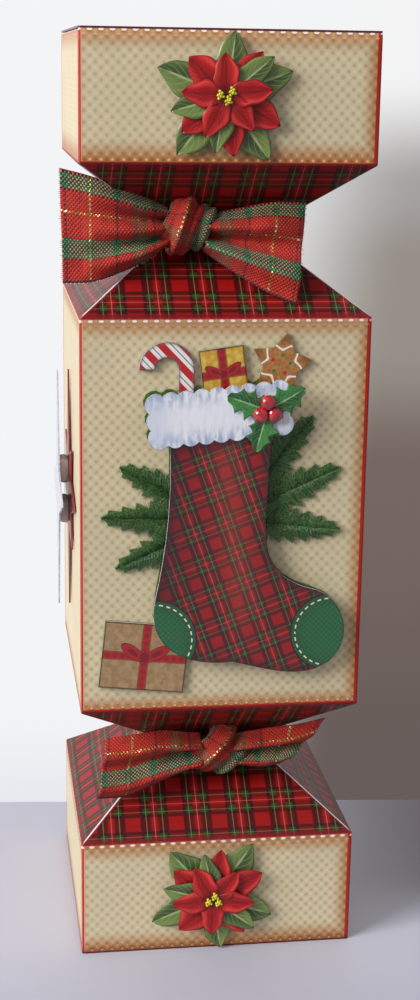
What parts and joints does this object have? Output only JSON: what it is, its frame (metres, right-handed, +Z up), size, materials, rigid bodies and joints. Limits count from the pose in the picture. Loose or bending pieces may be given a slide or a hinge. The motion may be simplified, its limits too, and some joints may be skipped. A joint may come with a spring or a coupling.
{
  "type": "christmas cracker gift box",
  "caption": "Upright cracker-shaped gift box of creased card with two pinched necks tied in tartan ribbon, tuck-in end lids and layered card toppers.",
  "frame": {"origin": "centre of the base, on the underside of the bottom lid that the box stands on", "axes": "+Z up along the cracker, -Y out of the front with the stocking topper, -X out of the side with the star topper"},
  "size_m": [0.0693, 0.0715, 0.2138],
  "materials": {
    "printed_card": "satin",
    "lid_card": "satin",
    "plain_card": "matte",
    "tartan_ribbon": "satin",
    "flower_green": "satin",
    "flower_red": "satin",
    "fir_print": "satin",
    "cane_print": "satin",
    "biscuit_print": "satin",
    "gift_print": "satin",
    "parcel_print": "satin",
    "tartan_print": "satin",
    "fur_print": "satin",
    "holly_print": "gloss",
    "star_print": "satin",
    "berry_gem": "gloss",
    "foam_pad": "matte",
    "snap_card": "matte",
    "thin_paper": "matte",
    "gift_paper": "satin",
    "crown_tissue": "matte"
  },
  "bodies": {
    "shell": {"front_panel": "printed_card", "right_panel": "printed_card", "back_panel": "printed_card", "left_panel": "printed_card", "upper_ribbon_wrap": "tartan_ribbon", "upper_ribbon_knot": "tartan_ribbon", "upper_ribbon_left_tail": "tartan_ribbon", "upper_ribbon_right_tail": "tartan_ribbon", "lower_ribbon_wrap": "tartan_ribbon", "lower_ribbon_knot": "tartan_ribbon", "lower_ribbon_left_tail": "tartan_ribbon", "lower_ribbon_right_tail": "tartan_ribbon", "top_poinsettia_pad": "foam_pad", "top_poinsettia_leaves": "flower_green", "top_poinsettia_petals": "flower_red", "bottom_poinsettia_pad": "foam_pad", "bottom_poinsettia_leaves": "flower_green", "bottom_poinsettia_petals": "flower_red", "topper_backing": "fir_print", "topper_candy_cane": "cane_print", "topper_biscuit_star": "biscuit_print", "topper_small_gift": "gift_print", "topper_parcel": "parcel_print", "topper_stocking": "tartan_print", "topper_cuff": "fur_print", "topper_upper_foam_pad": "foam_pad", "topper_middle_foam_pad": "foam_pad", "topper_toe_foam_pad": "foam_pad", "topper_left_cuff_pad": "foam_pad", "topper_right_cuff_pad": "foam_pad", "topper_holly": "holly_print", "topper_berries": "berry_gem", "side_star_backing": "tartan_print", "side_star": "star_print", "side_upper_foam_pad": "foam_pad", "side_lower_foam_pad": "foam_pad", "snap_lower_strip": "snap_card", "snap_upper_strip": "snap_card", "snap_paper_sleeve": "thin_paper", "wrapped_gift": "gift_paper", "paper_crown": "crown_tissue", "motto_slip": "thin_paper"},
    "top_lid": {"top_lid": "lid_card"},
    "top_tuck_flap": {"top_tuck_flap": "plain_card"},
    "bottom_lid": {"bottom_lid": "lid_card"},
    "bottom_tuck_flap": {"bottom_tuck_flap": "plain_card"},
    "top_left_dust_flap": {"top_left_dust_flap": "plain_card"},
    "top_right_dust_flap": {"top_right_dust_flap": "plain_card"},
    "bottom_left_dust_flap": {"bottom_left_dust_flap": "plain_card"},
    "bottom_right_dust_flap": {"bottom_right_dust_flap": "plain_card"}
  },
  "joints": [
    {"name": "top_lid_hinge", "type": "hinge", "parent": "shell", "child": "top_lid", "pos_m": [0, 0.0325, 0.21325], "axis": [-1, 0, 0], "range_deg": [0, 165]},
    {"name": "top_tuck_crease", "type": "hinge", "parent": "top_lid", "child": "top_tuck_flap", "pos_m": [0, -0.0318, 0.2131], "axis": [1, 0, 0], "range_deg": [0, 12]},
    {"name": "bottom_lid_hinge", "type": "hinge", "parent": "shell", "child": "bottom_lid", "pos_m": [0, 0.0325, 0.00055], "axis": [1, 0, 0], "range_deg": [0, 165]},
    {"name": "bottom_tuck_crease", "type": "hinge", "parent": "bottom_lid", "child": "bottom_tuck_flap", "pos_m": [0, -0.0318, 0.0007], "axis": [-1, 0, 0], "range_deg": [0, 12]},
    {"name": "top_left_dust_flap_hinge", "type": "hinge", "parent": "shell", "child": "top_left_dust_flap", "pos_m": [-0.0315, 0, 0.2131], "axis": [0, 1, 0], "range_deg": [0, 75]},
    {"name": "top_right_dust_flap_hinge", "type": "hinge", "parent": "shell", "child": "top_right_dust_flap", "pos_m": [0.0315, 0, 0.2131], "axis": [0, -1, 0], "range_deg": [0, 75]},
    {"name": "bottom_left_dust_flap_hinge", "type": "hinge", "parent": "shell", "child": "bottom_left_dust_flap", "pos_m": [-0.0315, 0, 0.0007], "axis": [0, -1, 0], "range_deg": [0, 75]},
    {"name": "bottom_right_dust_flap_hinge", "type": "hinge", "parent": "shell", "child": "bottom_right_dust_flap", "pos_m": [0.0315, 0, 0.0007], "axis": [0, 1, 0], "range_deg": [0, 75]}
  ]
}
